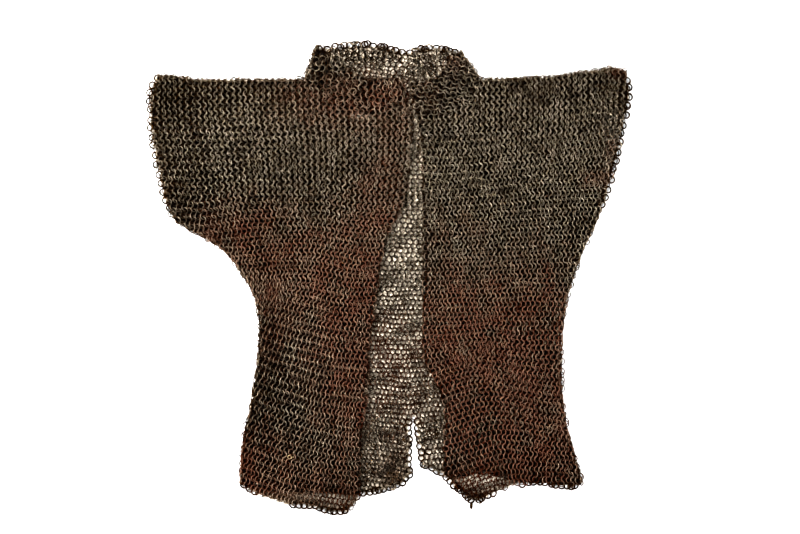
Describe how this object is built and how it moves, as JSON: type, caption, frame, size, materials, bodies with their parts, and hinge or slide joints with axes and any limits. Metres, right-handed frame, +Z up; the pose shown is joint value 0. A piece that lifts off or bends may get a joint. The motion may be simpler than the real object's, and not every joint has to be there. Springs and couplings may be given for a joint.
{
  "type": "chainmail hauberk",
  "caption": "Short mail shirt of linked iron rings, laid flat: short wide sleeves, low standing collar, open front and a slit in the back hem.",
  "frame": {"origin": "centre of the garment's outline, on the surface it lies on", "axes": "+Z up from the surface, +Y from the hem towards the collar, +X towards the wearer's left sleeve"},
  "size_m": [0.8004, 0.7803, 0.0142],
  "materials": {
    "mail_back": "bare iron wire, dark, dry and lightly pitted",
    "mail_front": "bare iron wire with a reddish-brown skin of old rust in broad soft patches",
    "mail_sleeve": "bare iron wire, grey-brown, worn bright on the crowns of the rings",
    "mail_collar": "bare iron wire, brown, with some orange rust",
    "brass_link": "dull yellow wire"
  },
  "bodies": {
    "root": {"back": "mail_back", "front_right": "mail_front", "front_left": "mail_front", "sleeve_right_front": "mail_sleeve", "sleeve_right_back": "mail_sleeve", "sleeve_left_front": "mail_sleeve", "sleeve_left_back": "mail_sleeve", "collar": "mail_collar", "repair_link": "brass_link"}
  },
  "joints": []
}
